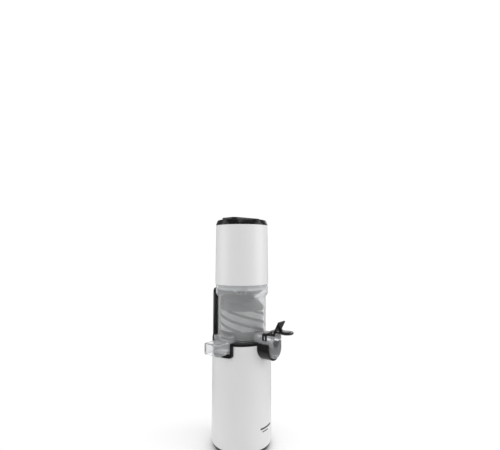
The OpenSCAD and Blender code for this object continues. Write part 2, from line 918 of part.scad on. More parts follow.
module bowl_seal() {
    color("dimgray")
        difference() {
            union() {
                disc(hub_ir - snug, bowl_floor - floor_t - 1, 7);
                disc(hub_ir + 3, bowl_floor - floor_t - 1.5, 1.5 - snug);
            }
            disc(shaft_r + run, bowl_floor - 10, 20);
        }
}

module pulp_plug() {
    color("dimgray") {
        block([-bowl_r - 10.95, -8.95, seat_z + 0.1], [-bowl_r - 3.05, 8.95, seat_z + bowl_wall]);
        block([-bowl_r - 12, -10, seat_z + bowl_wall + snug], [-bowl_r - 2, 10, seat_z + bowl_wall + 1.5]);
        block([-bowl_r - 10, -8, seat_z + bowl_wall - 0.5], [-bowl_r - 4, 8, seat_z + bowl_wall + 0.5]);
    }
}

// ---- spout cap ----

module cap_bracket() {
    half_w = spout_r + 2.2;
    y1 = bracket_y + bracket_l / 2;
    y0 = bracket_y - bracket_l / 2;
    prong_w = 3.2;
    color("black")
        difference() {
            union() {
                block([-half_w, y0, bracket_z], [half_w, y1, bracket_z + 3]);
                for (i = [-1, 1]) {
                    for (y = [y0, y1 - prong_w])
                        block([i < 0 ? -half_w : spout_r + 0.2, y, bracket_z - 9],
                            [i < 0 ? -spout_r - 0.2 : half_w, y + prong_w, bracket_z + 1]);
                    // Cheeks that carry the hinge pin
                    block([i < 0 ? -lid_half - 3.2 : lid_half + 0.3, hinge_y - 3, bracket_z],
                        [i < 0 ? -lid_half - 0.3 : lid_half + 3.2, y1, bracket_z + 3]);
                    block([i < 0 ? -lid_half - 3.2 : lid_half + 0.3, hinge_y - 3, bracket_z],
                        [i < 0 ? -lid_half - 0.3 : lid_half + 3.2, hinge_y + 4, hinge_z + 2.6]);
                }
                block([-half_w + 2, y0 + 1, bracket_z + 2], [half_w - 2, y1 - 1, bracket_z + 4.2]);
            }
            rod_x(hinge_pin_r + snug, hinge_y, hinge_z, -40, 40);
        }
}

module cap_hinge_pin() {
    color("silver")
        rod_x(hinge_pin_r, hinge_y, hinge_z, -lid_half - 3, lid_half + 3);
}

// The lid rests open: its disc points to -Y, level with the hinge; at its other limit it covers the mouth
module spout_lid() {
    disc_y = hinge_y - lid_arm;
    knuckle_r = 3;
    color("black")
        difference() {
            union() {
                translate([0, disc_y, hinge_z - 0.6]) cylinder(r = lid_r, h = lid_t - 0.4);
                translate([0, disc_y, hinge_z + 1]) cylinder(r = lid_r - 4.5, h = lid_t - 1);
                for (i = [-1, 1]) {
                    rod_x(knuckle_r, hinge_y, hinge_z, i < 0 ? -lid_half : lid_half - 4,
                        i < 0 ? -lid_half + 4 : lid_half);
                    block([i < 0 ? -lid_half + 0.3 : lid_half - 3.7, disc_y + 6, hinge_z - 0.5],
                        [i < 0 ? -lid_half + 3.7 : lid_half - 0.3, hinge_y, hinge_z + 1.7]);
                }
                // Thumb tab, leaning out from the hinge
                translate([0, hinge_y, hinge_z])
                    rotate([28, 0, 0])
                        block([-lid_half + 0.5, -1.4, 2.2], [lid_half - 0.5, 1, 21]);
            }
            rod_x(hinge_pin_r + run, hinge_y, hinge_z, -40, 40);
        }
}

module lid_gasket() {
    color("gray")
        translate([0, hinge_y - lid_arm, hinge_z - 1.9]) cylinder(r = mouth_r + 1.2, h = 1.3 - snug);
}

// ---- auger ----

// The auger's top, as a solid of revolution: what the flights stand on
module auger_top_profile(z0) {
    a = auger_r;
    polygon([[0, z0], [a, z0], [a, drum_z1 + 2.5], [a * 0.78, drum_z1 + 15], [a * 0.5, drum_z1 + 22],
        [boss_r, drum_z1 + 26], [boss_r, auger_top], [0, auger_top]]);
}

module auger_core() {
    a = auger_r;
    color([0.12, 0.12, 0.13])
        difference() {
            union() {
                tube(a, a - 3.6, auger_z, drum_z0 - auger_z);
                difference() {
                    rotate_extrude() auger_top_profile(drum_z1);
                    rotate_extrude()
                            polygon([[6, drum_z1 - 1], [a - 4, drum_z1 - 1], [a - 4, drum_z1 + 1.5],
                                [a * 0.78 - 3, drum_z1 + 12], [a * 0.5 - 2, drum_z1 + 19.3],
                                [6, drum_z1 + 22]]);
                }
                disc(6, socket_top, drum_z1 + 22 - socket_top);
                disc(auger_hub_r, hub_z0, socket_top + 3 - hub_z0);
                // Fins from the hub to the lower ring
                for (q = [0 : 90 : 270])
                    rotate([0, 0, q]) block([auger_hub_r - 1, -1.4, hub_z0], [a - 3, 1.4, hub_z0 + 14]);
                // Posts behind the mesh
                for (q = [0 : 45 : 315])
                    rotate([0, 0, q])
                        block([mesh_r - mesh_t - 2.6, -1.5, drum_z0 - 1],
                            [mesh_r - mesh_t - 0.15, 1.5, drum_z1 + 1]);
            }
            disc(bush_hole, auger_top - 10, 20);
            disc(socket_r + snug, hub_z0 - 1, socket_top - hub_z0 + 1);
        }
}

module auger_mesh() {
    color("lightgray")
        tube(mesh_r, mesh_r - mesh_t, drum_z0 + snug, drum_z1 - drum_z0 - 2 * snug);
}

module auger_flights() {
    h = drum_z1 - drum_z0;
    turn = 360 * h / flight_lead;
    step = 90 * flight_band / flight_lead;
    color([0.1, 0.1, 0.11]) {
        for (i = [0 : flight_count - 1])
            rotate([0, 0, 360 / flight_count * i])
                translate([0, 0, drum_z0 + snug])
                    linear_extrude(h - 2 * snug, twist = turn, slices = ceil(turn / 7.5), segments = 10)
                        polygon([for (i = [-2 : 2]) (mesh_r + 0.2) * [cos(i * step), sin(i * step)],
                            for (i = [2 : -1 : -2])
                                (auger_r - 0.1) * [cos(0.8 * i * step), sin(0.8 * i * step)]]);
        // Two cutting wings that climb the cone
        intersection() {
            difference() {
                for (i = [0, 1])
                    rotate([0, 0, 180 * i])
                        translate([0, 0, drum_z1 + 8])
                            linear_extrude(auger_h - 50 - 8, twist = 70, slices = 14, segments = 16)
                                polygon([[boss_r - 1, -2], [boss_r + 12, -3.2], [auger_r - 4, -1.5],
                                    [auger_r - 0.5, 3], [auger_r - 2.5, 4.5], [auger_r - 8, 2.2],
                                    [boss_r + 12, 1], [boss_r - 1, 2]]);
                rotate_extrude() auger_top_cut();
            }
            rotate_extrude()
                polygon([[0, drum_z1], [auger_r, drum_z1], [auger_r, auger_top - 12],
                    [auger_r - 4, auger_top - 1], [boss_r + 8, auger_top - 6], [0, auger_top - 8]]);
        }
    }
}

// The auger's top grown by a hair, cut out of the wings
module auger_top_cut() {
    a = auger_r;
    s = 0.03;
    polygon([[0, drum_z1 - 5], [a + s, drum_z1 - 5], [a + s, drum_z1 + 2.5 + s],
        [a * 0.78 + s, drum_z1 + 15 + s], [a * 0.5 + s, drum_z1 + 22 + s],
        [boss_r + s, drum_z1 + 26 + s], [boss_r + s, auger_top + 5], [0, auger_top + 5]]);
}

module hex_socket() {
    color("silver")
        difference() {
            disc(socket_r, hub_z0, socket_top - hub_z0 - snug);
            translate([0, 0, hub_z0 - 1])
                linear_extrude(shaft_top - hub_z0 + 1.5) hexagon(hex_af + 0.2);
        }
}

module auger_bush() {
    color("ivory")
        difference() {
            union() {
                disc(bush_r, auger_top - 9.5, 9.6);
                disc(bush_r + 2, auger_top + snug, 1.5);
            }
            disc(pin_r + run, auger_top - 20, 40);
        }
}

// ---- hopper ----

module stem_outline(grow) {
    corner = stem_chamfer + grow * 0.6;
    translate([chute_offset, 0]) chamfered_rect(stem_d + 2 * grow, stem_w + 2 * grow, corner);
}

module hopper_shell() {
    color("white")
        rotate_extrude()
            polygon([[hopper_r - wall, hopper_z], [hopper_r, hopper_z],
                [hopper_r - hopper_taper, hopper_top], [hopper_r - hopper_taper - wall, hopper_top]]);
}

module hopper_inner() {
    z1 = hopper_top;
    color([0.8, 0.82, 0.83, 0.6])
        difference() {
            union() {
                disc(inner_r, hopper_z, 3);
                tube(insert_r, insert_r - 2.4, hopper_z - insert_depth, insert_depth + 1);
                tube(insert_r - 1.8, insert_r - 3.6, hopper_z - insert_depth - 3, 4);
                disc(pin_r + 4, hopper_z, 12);
                tube(inner_r, inner_r - funnel_wall, chute_top, z1 - chute_top);
                disc(inner_r, chute_top - 2, 2);
                at_chute()
                    translate([0, 0, hopper_z])
                        linear_extrude(chute_top - hopper_z) stem_outline(chute_gap + chute_wall);
            }
            at_chute()
                translate([0, 0, hopper_z - 20])
                    linear_extrude(chute_top - hopper_z + 21) stem_outline(chute_gap);
            disc(pin_r + snug, hopper_z - 20, 30);
            tube(insert_r + 1, insert_r - 1.1, hopper_z - 5, 2.2);
        }
}

module hopper_top_ring() {
    r = hopper_r - hopper_taper;
    color("black")
        rotate_extrude()
            polygon([[inner_r - 6, hopper_top + snug], [r, hopper_top + snug], [r, hopper_top + 3],
                [r - 2.4, ring_top - 1], [r - 3.6, ring_top], [inner_r - 5, ring_top],
                [inner_r - 6, ring_top - 1]]);
}

module bearing_pin() {
    color([0.1, 0.1, 0.11]) {
        disc(pin_r, auger_top - 5, hopper_z + 9 - auger_top + 5);
        translate([0, 0, auger_top - 8.2]) cylinder(r1 = 2.4, r2 = pin_r, h = 3.2 + eps);
        disc(pin_r + 2.5, hopper_z - 3.4, 3.4 - snug);
    }
}

module hopper_seal() {
    color("gray")
        tube(collar_ir - 0.12, insert_r - 1.05, hopper_z - 4.95, 2.1);
}

// ---- pusher ----

module pusher_stem() {
    color([0.06, 0.06, 0.065])
        at_chute()
            difference() {
                translate([0, 0, stem_z + cap_t + snug])
                    linear_extrude(plate_z - stem_z - cap_t - 2 * snug) stem_outline(0);
                translate([0, 0, stem_z])
                    linear_extrude(plate_z - stem_z + 1) stem_outline(-stem_wall);
            }
}

module pusher_plate() {
    far = -plate_reach + 1;
    color([0.06, 0.06, 0.065])
        at_chute() {
            translate([0, 0, plate_z])
                linear_extrude(plate_h)
                    polygon([[plate_reach, -plate_w / 2 + 6], [plate_reach, plate_w / 2 - 6],
                        [plate_reach - 5, plate_w / 2], [far + 7, plate_w / 2], [far, plate_w / 2 - 9],
                        [far, -plate_w / 2 + 9], [far + 7, -plate_w / 2], [plate_reach - 5, -plate_w / 2]]);
            translate([0, 0, plate_z - 6])
                linear_extrude(6 + eps) stem_outline(-stem_wall - snug);
        }
}

module pusher_cap() {
    color([0.2, 0.2, 0.21])
        at_chute() {
            translate([0, 0, stem_z]) linear_extrude(cap_t) stem_outline(-0.4);
            translate([0, 0, stem_z + cap_t - eps])
                linear_extrude(5) stem_outline(-stem_wall - snug);
        }
}

housing_shell();
trim_ring();
bottom_cover();
foot_ring();
cover_screws();
top_frame();
column_panel();
lock_sensor();
shaft_seal();
switch_body();
switch_rocker();
cord_gland();
control_board();
motor_can();
motor_magnets();
motor_end_cap();
motor_front_plate();
motor_bearings();
motor_brushes();
motor_damper();
rotor_core();
rotor_windings();
motor_shaft();
commutator();
cooling_fan();
gearbox_housing();
ring_gear();
gearbox_cover();
gearbox_screws();
output_bearing();
stage1_carrier();
stage1_planet_a();
stage1_planet_b();
stage1_planet_c();
output_carrier();
stage2_planet_a();
stage2_planet_b();
stage2_planet_c();
drive_shaft();
bowl();
bowl_outlets();
bowl_seal();
pulp_plug();
cap_bracket();
cap_hinge_pin();
spout_lid();
lid_gasket();
auger_core();
auger_mesh();
auger_flights();
hex_socket();
auger_bush();
hopper_shell();
hopper_inner();
hopper_top_ring();
bearing_pin();
hopper_seal();
pusher_stem();
pusher_plate();
pusher_cap();
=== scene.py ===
"""Looks of the slow juicer: finishes for its parts, finer pieces for the auger and pusher, and the studio.

All lengths are metres. -Y is the front, where the juice spout points; +Z is up along the drive axis.
"""

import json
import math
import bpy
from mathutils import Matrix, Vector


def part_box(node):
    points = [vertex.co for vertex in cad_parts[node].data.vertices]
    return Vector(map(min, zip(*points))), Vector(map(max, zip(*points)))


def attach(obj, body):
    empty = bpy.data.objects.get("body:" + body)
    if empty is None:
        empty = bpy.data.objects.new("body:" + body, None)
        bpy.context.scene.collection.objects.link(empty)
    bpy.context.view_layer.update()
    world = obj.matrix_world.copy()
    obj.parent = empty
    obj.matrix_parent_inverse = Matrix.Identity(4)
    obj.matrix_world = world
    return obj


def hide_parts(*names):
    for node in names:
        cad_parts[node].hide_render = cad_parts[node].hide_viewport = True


bl_info = {
    "name": "Slow Juicer Looks",
    "version": (1, 0, 0),
    "blender": (4, 5, 0),
    "location": "View3D > Sidebar > Juicer",
    "description": "Finishes, finer pieces and a studio for the slow juicer",
    "category": "Object",
}

import bmesh
import bpy
from mathutils import Matrix, Vector

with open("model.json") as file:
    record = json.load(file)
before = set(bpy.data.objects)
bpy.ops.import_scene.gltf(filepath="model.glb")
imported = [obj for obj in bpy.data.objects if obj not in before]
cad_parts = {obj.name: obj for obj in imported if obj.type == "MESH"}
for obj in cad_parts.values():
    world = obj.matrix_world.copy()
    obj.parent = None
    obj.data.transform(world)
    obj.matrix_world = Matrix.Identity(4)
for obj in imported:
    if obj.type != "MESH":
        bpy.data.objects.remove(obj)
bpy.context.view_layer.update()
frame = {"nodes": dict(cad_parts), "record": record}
CHUTE_ANGLE = math.radians(170)


# ---- what a user may change ----


class JuicerSizes(bpy.types.PropertyGroup):
    rib_count: bpy.props.IntProperty(name="Auger ribs", description="Helical ribs round the mesh drum", default=5)
    rib_lead: bpy.props.FloatProperty(
        name="Rib lead", description="Rise of a rib in one turn", default=0.075, unit="LENGTH")
    rib_rise: bpy.props.FloatProperty(
        name="Rib thickness", description="Height of a rib's band, along the axis", default=0.0046, unit="LENGTH")
    screen_pitch: bpy.props.FloatProperty(
        name="Screen pitch", description="Width of one cell of the steel screen", default=0.0021, unit="LENGTH")
    screen_wire: bpy.props.FloatProperty(
        name="Screen web", description="Width of the steel between two cells", default=0.0008, unit="LENGTH")
    edge_round: bpy.props.FloatProperty(
        name="Edge rounding", description="Radius of the moulded edges", default=0.0008, unit="LENGTH")
    camera_distance: bpy.props.FloatProperty(
        name="Camera distance", description="Level distance from the drive axis", default=0.70, unit="LENGTH")
    camera_height: bpy.props.FloatProperty(
        name="Camera height", description="Height above the worktop", default=0.36, unit="LENGTH")
    camera_azimuth: bpy.props.FloatProperty(
        name="Camera azimuth", description="0 looks along +Y", default=math.radians(-52), unit="ROTATION")
    camera_lens: bpy.props.FloatProperty(
        name="Lens", description="Focal length on a 36 mm wide sensor, in millimetres", default=25.7)


def colour_property(name, description, default):
    return bpy.props.FloatVectorProperty(
        name=name, description=description, default=default, subtype="COLOR", size=3, min=0, max=1)


class JuicerColours(bpy.types.PropertyGroup):
    casing: colour_property("Casing", "Moulded shells of the base and the hopper", (0.74, 0.74, 0.74))
    gloss_black: colour_property("Gloss black", "Frame, top ring, pusher and lid", (0.004, 0.004, 0.0045))
    matte_black: colour_property("Matte black", "Auger, switch and underside", (0.009, 0.009, 0.0095))
    # the column's inner face is painted a lighter grey: partly the panel's own tone, partly a painted reflection of
    # the bright surroundings
    panel: colour_property("Column panel", "Inner face of the column", (0.15, 0.15, 0.155))
    clear: colour_property("Clear plastic", "Bowl and hopper insert", (0.93, 0.94, 0.95))
    screen: colour_property("Screen steel", "Mesh drum of the auger", (0.62, 0.62, 0.61))
    silicone: colour_property("Silicone", "Seals and the pulp plug", (0.52, 0.53, 0.54))


# ---- node helpers and shared effects ----


def input_of(node, name, value):
    node.inputs[name].default_value = value


def math_node(tree, operation, a, b=None, clamp=False):
    node = tree.nodes.new("ShaderNodeMath")
    node.operation = operation
    node.use_clamp = clamp
    for socket, value in zip(node.inputs, (a, b)):
        if hasattr(value, "is_output"):
            tree.links.new(value, socket)
        elif value is not None:
            socket.default_value = value
    return node.outputs[0]


def mix_colour(tree, factor, a, b):
    node = tree.nodes.new("ShaderNodeMix")
    node.data_type = "RGBA"
    for socket, value in ((node.inputs[0], factor), (node.inputs[6], a), (node.inputs[7], b)):
        if hasattr(value, "is_output"):
            tree.links.new(value, socket)
        else:
            socket.default_value = value
    return node.outputs[2]


def noise(tree, scale, detail=2.0, stretch=None):
    """A noise texture over the piece's own space; stretch squeezes it along an axis."""
    place = tree.nodes.new("ShaderNodeTexCoord").outputs["Object"]
    if stretch:
        mapping = tree.nodes.new("ShaderNodeMapping")
        input_of(mapping, "Scale", stretch)
        tree.links.new(place, mapping.inputs["Vector"])
        place = mapping.outputs["Vector"]
    node = tree.nodes.new("ShaderNodeTexNoise")
    tree.links.new(place, node.inputs["Vector"])
    node.inputs["Detail"].default_value = detail
    if hasattr(scale, "is_output"):
        tree.links.new(scale, node.inputs["Scale"])
    else:
        node.inputs["Scale"].default_value = scale
    return node.outputs["Fac"]


def new_group(name, inputs, outputs):
    """A shader node group with named float or colour sockets; returns its tree, inputs and outputs."""
    tree = bpy.data.node_groups.new(name, "ShaderNodeTree")
    for label, value in inputs.items():
        kind = "NodeSocketFloat" if isinstance(value, (int, float)) else "NodeSocketColor"
        tree.interface.new_socket(label, in_out="INPUT", socket_type=kind).default_value = value
    for label, kind in outputs.items():
        tree.interface.new_socket(label, in_out="OUTPUT", socket_type=kind)
    return tree, tree.nodes.new("NodeGroupInput").outputs, tree.nodes.new("NodeGroupOutput").inputs


def make_moulded_surface():
    """Moulded plastic or rubber: slow mottling, uneven sheen and a fine grain."""
    tree, inp, out = new_group(
        "Moulded Surface",
        {"Base": (1, 1, 1, 1), "Shade": (0.9, 0.9, 0.9, 1), "Mottle": 30.0, "Roughness": 0.4, "Spread": 0.1,
         "Grain": 2500.0},
        {"Color": "NodeSocketColor", "Roughness": "NodeSocketFloat", "Height": "NodeSocketFloat"})
    slow = math_node(tree, "MULTIPLY_ADD", noise(tree, inp["Mottle"], 3.0), 2.2, True)
    slow.node.inputs[2].default_value = -0.6
    tree.links.new(mix_colour(tree, slow, inp["Base"], inp["Shade"]), out["Color"])
    uneven = math_node(tree, "SUBTRACT", noise(tree, 55.0, 4.0), 0.5)
    spread = math_node(tree, "MULTIPLY", uneven, inp["Spread"])
    tree.links.new(math_node(tree, "ADD", inp["Roughness"], spread, True), out["Roughness"])
    tree.links.new(noise(tree, inp["Grain"], 1.0), out["Height"])
    return tree


def make_edge_wear_and_highlight():
    """A mask that is 1 on outer edges, for rubbed wear and a painted edge highlight, and the rounded normal of a
    moulded edge.
    """
    tree, inp, out = new_group(
        "Edge Wear And Highlight", {"Radius": 0.0008, "Sharpness": 6.0},
        {"Mask": "NodeSocketFloat", "Normal": "NodeSocketVector"})
    bevel = tree.nodes.new("ShaderNodeBevel")
    bevel.samples = 6
    tree.links.new(inp["Radius"], bevel.inputs["Radius"])
    face = tree.nodes.new("ShaderNodeNewGeometry").outputs["Normal"]
    dot = tree.nodes.new("ShaderNodeVectorMath")
    dot.operation = "DOT_PRODUCT"
    tree.links.new(bevel.outputs["Normal"], dot.inputs[0])
    tree.links.new(face, dot.inputs[1])
    # 1 where the rounded normal turns away from the face: outer edges, which the finishes paint lighter as rubbed
    # wear and a painted highlight
    turned = math_node(tree, "SUBTRACT", 1.0, dot.outputs["Value"])
    worn_edge_and_highlight = math_node(tree, "MULTIPLY", turned, inp["Sharpness"], True)
    broken = math_node(tree, "GREATER_THAN", noise(tree, 160.0, 3.0), 0.45)
    tree.links.new(math_node(tree, "MULTIPLY", worn_edge_and_highlight, broken), out["Mask"])
    tree.links.new(bevel.outputs["Normal"], out["Normal"])
    return tree


def make_machined_surface():
    """Turned, drawn or brushed metal: fine streaks, with slow stains."""
    tree, inp, out = new_group(
        "Machined Surface",
        {"Base": (0.6, 0.6, 0.6, 1), "Stain": (0.4, 0.4, 0.4, 1), "Streaks": 900.0, "Roughness": 0.35,
         "Spread": 0.2},
        {"Color": "NodeSocketColor", "Roughness": "NodeSocketFloat", "Height": "NodeSocketFloat"})
    streak = noise(tree, inp["Streaks"], 2.0, (0.04, 0.04, 1.0))
    stain = math_node(tree, "MULTIPLY_ADD", noise(tree, 70.0, 3.0), 1.8, True)
    stain.node.inputs[2].default_value = -0.55
    tree.links.new(mix_colour(tree, stain, inp["Base"], inp["Stain"]), out["Color"])
    uneven = math_node(tree, "MULTIPLY", math_node(tree, "SUBTRACT", streak, 0.5), inp["Spread"])
    tree.links.new(math_node(tree, "ADD", inp["Roughness"], uneven, True), out["Roughness"])
    tree.links.new(streak, out["Height"])
    return tree


def make_settled_dust():
    """A mask for the faint dust that lies on upward faces."""
    tree, inp, out = new_group("Settled Dust", {"Amount": 0.3}, {"Mask": "NodeSocketFloat"})
    normal = tree.nodes.new("ShaderNodeNewGeometry").outputs["Normal"]
    split = tree.nodes.new("ShaderNodeSeparateXYZ")
    tree.links.new(normal, split.inputs[0])
    up = math_node(tree, "SUBTRACT", split.outputs["Z"], 0.6, True)
    patchy = math_node(tree, "MULTIPLY", up, noise(tree, 240.0, 4.0))
    tree.links.new(math_node(tree, "MULTIPLY", patchy, inp["Amount"], True), out["Mask"])
    return tree


def use_group(tree, name, **values):
    node = tree.nodes.new("ShaderNodeGroup")
    node.node_tree = bpy.data.node_groups[name]
    for label, value in values.items():
        node.inputs[label].default_value = value
    return node.outputs


def rgba(colour, scale=1.0):
    return tuple(min(1.0, c * scale) for c in colour[:3]) + (1.0,)


def new_material(name, colour):
    material = bpy.data.materials.new(name)
    material.use_nodes = True
    material.diffuse_color = rgba(colour)
    return material, material.node_tree, material.node_tree.nodes["Principled BSDF"]


def connect_bump(tree, shader, height, normal, strength, distance):
    bump = tree.nodes.new("ShaderNodeBump")
    input_of(bump, "Strength", strength)
    input_of(bump, "Distance", distance)
    tree.links.new(height, bump.inputs["Height"])
    if normal is not None:
        tree.links.new(normal, bump.inputs["Normal"])
    tree.links.new(bump.outputs["Normal"], shader.inputs["Normal"])


# ---- finishes ----


def moulded_plastic(name, colour, roughness=0.3, spread=0.1, shade=0.93, mottle=24.0, grain=1800.0, bump=0.06,
                    worn_edge_and_highlight=None, dust=0.25, coat=0.0, specular=0.5):
    """Casing, black gloss, matte and rubber parts. The optional lighter edge colour stands for rubbed wear and a
    painted edge highlight.
    """
    edge_round = bpy.context.scene.juicer_sizes.edge_round
    material, tree, shader = new_material(name, colour)
    skin = use_group(tree, "Moulded Surface", Base=rgba(colour), Shade=rgba(colour, shade), Mottle=mottle,
                     Roughness=roughness, Spread=spread, Grain=grain)
    edge = use_group(tree, "Edge Wear And Highlight", Radius=edge_round)
    tint = skin["Color"]
    # outer edges painted in the lighter edge colour: rubbed wear and a painted highlight
    if worn_edge_and_highlight:
        tint = mix_colour(tree, math_node(tree, "MULTIPLY", edge["Mask"], 0.5), tint, rgba(worn_edge_and_highlight))
    if dust:
        settled = use_group(tree, "Settled Dust", Amount=dust)["Mask"]
        tint = mix_colour(tree, settled, tint, (0.55, 0.54, 0.52, 1.0))
    tree.links.new(tint, shader.inputs["Base Color"])
    tree.links.new(skin["Roughness"], shader.inputs["Roughness"])
    connect_bump(tree, shader, skin["Height"], edge["Normal"], bump, 0.0003)
    input_of(shader, "Specular IOR Level", specular)
    if coat:
        input_of(shader, "Coat Weight", coat)
        input_of(shader, "Coat Roughness", 0.06)
    return material


def clear_plastic(name, colour, roughness=0.1, weight=0.9, ior=1.2):
    """Clear or frosted moulded plastic, with faint flow lines."""
    material, tree, shader = new_material(name, colour)
    skin = use_group(tree, "Moulded Surface", Base=rgba(colour), Shade=rgba(colour, 0.96), Mottle=18.0,
                     Roughness=roughness, Spread=0.06, Grain=300.0)
    edge = use_group(tree, "Edge Wear And Highlight", Radius=0.0012)
    tree.links.new(skin["Color"], shader.inputs["Base Color"])
    tree.links.new(skin["Roughness"], shader.inputs["Roughness"])
    connect_bump(tree, shader, skin["Height"], edge["Normal"], 0.04, 0.0005)
    input_of(shader, "Transmission Weight", weight)
    input_of(shader, "IOR", ior)
    return material


def machined_metal(name, colour, stain=0.75, streaks=900.0, roughness=0.32, spread=0.2, bump=0.08,
                   anisotropy=0.0):
    """Turned, drawn, cast or plated metal."""
    material, tree, shader = new_material(name, colour)
    skin = use_group(tree, "Machined Surface", Base=rgba(colour), Stain=rgba(colour, stain), Streaks=streaks,
                     Roughness=roughness, Spread=spread)
    edge = use_group(tree, "Edge Wear And Highlight", Radius=0.0003)
    # outer edges painted 1.3 times lighter: rubbed metal and a painted edge highlight
    tint = mix_colour(tree, math_node(tree, "MULTIPLY", edge["Mask"], 0.4), skin["Color"], rgba(colour, 1.3))
    tree.links.new(tint, shader.inputs["Base Color"])
    tree.links.new(skin["Roughness"], shader.inputs["Roughness"])
    connect_bump(tree, shader, skin["Height"], edge["Normal"], bump, 0.0002)
    input_of(shader, "Metallic", 1.0)
    if anisotropy:
        input_of(shader, "Anisotropic", anisotropy)
    return material


def wound_copper(name, colour):
    """Enamelled wire, laid in turns."""
    material, tree, shader = new_material(name, colour)
    place = tree.nodes.new("ShaderNodeTexCoord").outputs["Object"]
    turns = tree.nodes.new("ShaderNodeTexWave")
    turns.wave_type = "RINGS"
    turns.rings_direction = "Z"
    input_of(turns, "Scale", 190.0)
    input_of(turns, "Distortion", 0.6)
    tree.links.new(place, turns.inputs["Vector"])
    tint = mix_colour(tree, turns.outputs["Fac"], rgba(colour, 0.45), rgba(colour))
    tree.links.new(tint, shader.inputs["Base Color"])
    connect_bump(tree, shader, turns.outputs["Fac"], None, 0.5, 0.0004)
    input_of(shader, "Metallic", 0.8)
    input_of(shader, "Roughness", 0.32)
    return material


def circuit_board(name, colour):
    """Solder mask with lighter tracks."""
    material, tree, shader = new_material(name, colour)
    place = tree.nodes.new("ShaderNodeTexCoord").outputs["Object"]
    tracks = tree.nodes.new("ShaderNodeTexVoronoi")
    tracks.distance = "CHEBYCHEV"
    tracks.feature = "DISTANCE_TO_EDGE"
    input_of(tracks, "Scale", 160.0)
    tree.links.new(place, tracks.inputs["Vector"])
    line = math_node(tree, "LESS_THAN", tracks.outputs["Distance"], 0.08)
    tree.links.new(mix_colour(tree, line, rgba(colour), rgba(colour, 2.2)), shader.inputs["Base Color"])
    connect_bump(tree, shader, line, None, 0.2, 0.0001)
    input_of(shader, "Roughness", 0.35)
    return material


def make_finishes():
    """One material for each material slot of the record."""
    tones = bpy.context.scene.juicer_colours
    nylon = (0.72, 0.68, 0.58)
    return {
        "white_casing": moulded_plastic("white_casing", tones.casing, 0.3, 0.08, 0.985, 16.0, 1500.0, 0.03, dust=0.1),
        # the colour after the bump strength is the lighter edge colour: rubbed wear and a painted highlight
        "black_gloss": moulded_plastic("black_gloss", tones.gloss_black, 0.16, 0.12, 1.5, 30.0, 900.0, 0.02,
                                       (0.02, 0.02, 0.021), 0.03, specular=0.4),
        "black_matte": moulded_plastic("black_matte", tones.matte_black, 0.45, 0.12, 1.3, 40.0, 2600.0, 0.12,
                                       (0.04, 0.04, 0.04), 0.04, specular=0.3),
        # panel_grey: partly the panel's own tone, partly a painted reflection on the column's inner face
        "panel_grey": moulded_plastic("panel_grey", tones.panel, 0.3, 0.08, 0.92, 20.0, 1400.0, 0.04,
                                      (0.16, 0.16, 0.16), 0.1),
        "clear_bowl": clear_plastic("clear_bowl", tones.clear, 0.12, 0.84),
        "hopper_clear": clear_plastic("hopper_clear", tones.clear, 0.3, 0.6),
        "steel_mesh": machined_metal("steel_mesh", tones.screen, 0.8, 1400.0, 0.34, 0.15, 0.05),
        "steel": machined_metal("steel", (0.82, 0.82, 0.81), 0.88, 700.0, 0.26, 0.16, 0.08, 0.3),
        "zinc_steel": machined_metal("zinc_steel", (0.5, 0.51, 0.52), 0.7, 400.0, 0.42, 0.25, 0.1),
        "core_steel": machined_metal("core_steel", (0.32, 0.32, 0.33), 0.7, 3000.0, 0.45, 0.2, 0.3),
        "magnet_grey": moulded_plastic("magnet_grey", (0.05, 0.05, 0.053), 0.6, 0.2, 1.4, 90.0, 2200.0, 0.3),
        "copper": wound_copper("copper", (0.72, 0.36, 0.17)),
        "commutator_copper": machined_metal("commutator_copper", (0.76, 0.44, 0.27), 0.55, 900.0, 0.3, 0.2, 0.1),
        "cast_alloy": machined_metal("cast_alloy", (0.6, 0.61, 0.62), 0.8, 500.0, 0.5, 0.25, 0.35),
        "rubber_black": moulded_plastic("rubber_black", (0.018, 0.018, 0.019), 0.75, 0.15, 1.5, 60.0, 3000.0, 0.3,
                                        dust=0.5),
        "silicone_grey": moulded_plastic("silicone_grey", tones.silicone, 0.55, 0.1, 0.9, 40.0, 2500.0, 0.12),
        "nylon_ivory": moulded_plastic("nylon_ivory", nylon, 0.42, 0.1, 0.9, 50.0, 2000.0, 0.1),
        "board_green": circuit_board("board_green", (0.025, 0.13, 0.06)),
        "carbon": moulded_plastic("carbon", (0.035, 0.035, 0.038), 0.6, 0.2, 1.5, 120.0, 3500.0, 0.25),
    }


def slot_of(node):
    """The record's material slot of a CAD node."""
    for part in frame["record"]["subparts"]:
        if part["node"] == node:
            return part["material_slot"]
    raise ValueError("no sub-part is named " + node)


# ---- mesh helpers ----


def finish_piece(name, shape, body, slot, replaced=(), bevel=0.0, segments=3, sharp=35.0):
    """Turns a bmesh into a smooth-shaded piece that rides on a body."""
    bmesh.ops.recalc_face_normals(shape, faces=shape.faces)
    mesh = bpy.data.meshes.new(name)
    shape.to_mesh(mesh)
    shape.free()
    piece = bpy.data.objects.new(name, mesh)
    bpy.context.scene.collection.objects.link(piece)
    mesh.polygons.foreach_set("use_smooth", [True] * len(mesh.polygons))
    mesh.set_sharp_from_angle(angle=math.radians(sharp))
    if bevel:
        rounding = piece.modifiers.new("rounded_edges", "BEVEL")
        rounding.width = bevel
        rounding.segments = segments
        rounding.limit_method = "ANGLE"
        rounding.angle_limit = math.radians(sharp)
        rounding.harden_normals = True
    mesh.materials.append(bpy.data.materials[slot])
    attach(piece, body)
    if replaced:
        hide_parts(*replaced)
    return piece


